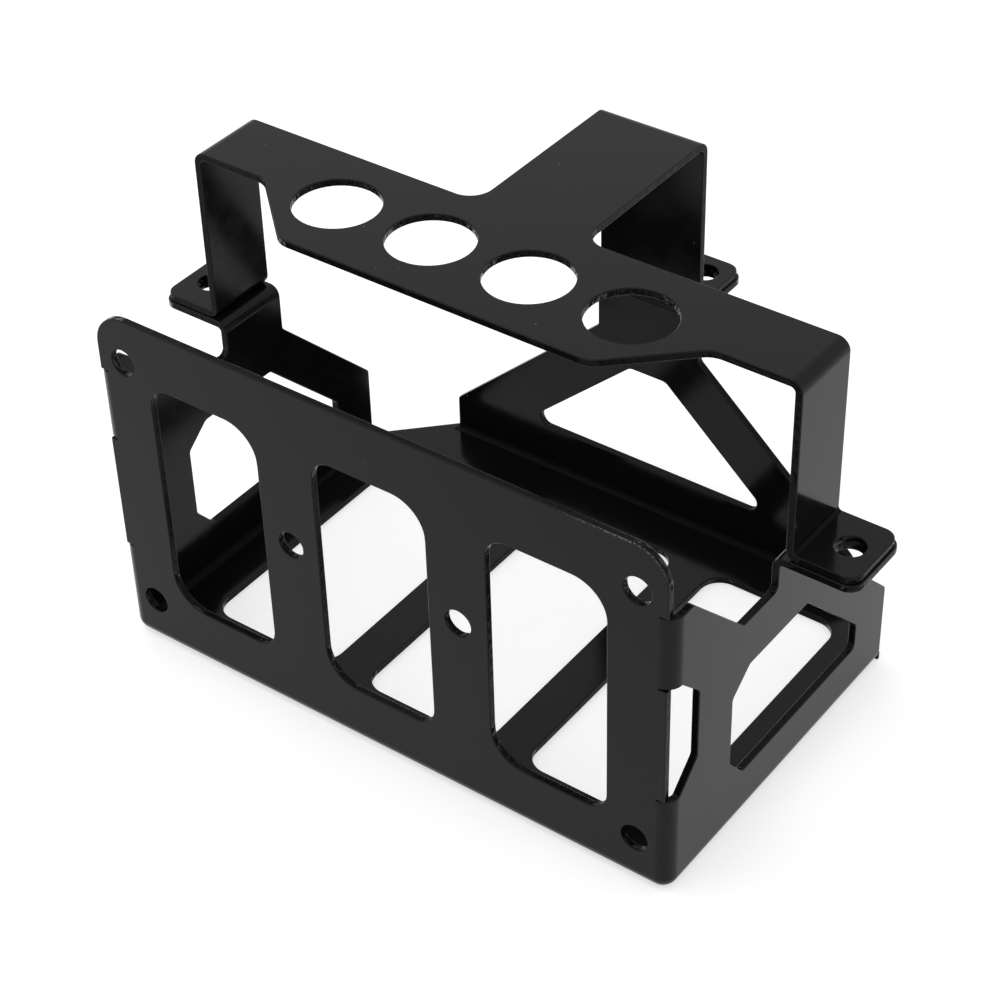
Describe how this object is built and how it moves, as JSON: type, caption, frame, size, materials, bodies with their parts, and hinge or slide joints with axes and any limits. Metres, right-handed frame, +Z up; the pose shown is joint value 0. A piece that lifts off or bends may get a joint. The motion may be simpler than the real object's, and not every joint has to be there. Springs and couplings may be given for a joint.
{
  "type": "battery tray",
  "caption": "Folded steel battery tray with windowed panels and a bolt-on T-shaped bracket that holds the battery down.",
  "frame": {"origin": "middle of the overall width and depth, at the underside of the tray's floor", "axes": "+X to the right along the front panel, +Y from the front panel to the rear ear, +Z up"},
  "size_m": [0.3086, 0.2068, 0.182],
  "materials": {
    "black_coating": "gloss black coating over steel sheet"
  },
  "bodies": {
    "root": {"tray": "black_coating", "hold_down": "black_coating"}
  },
  "joints": []
}
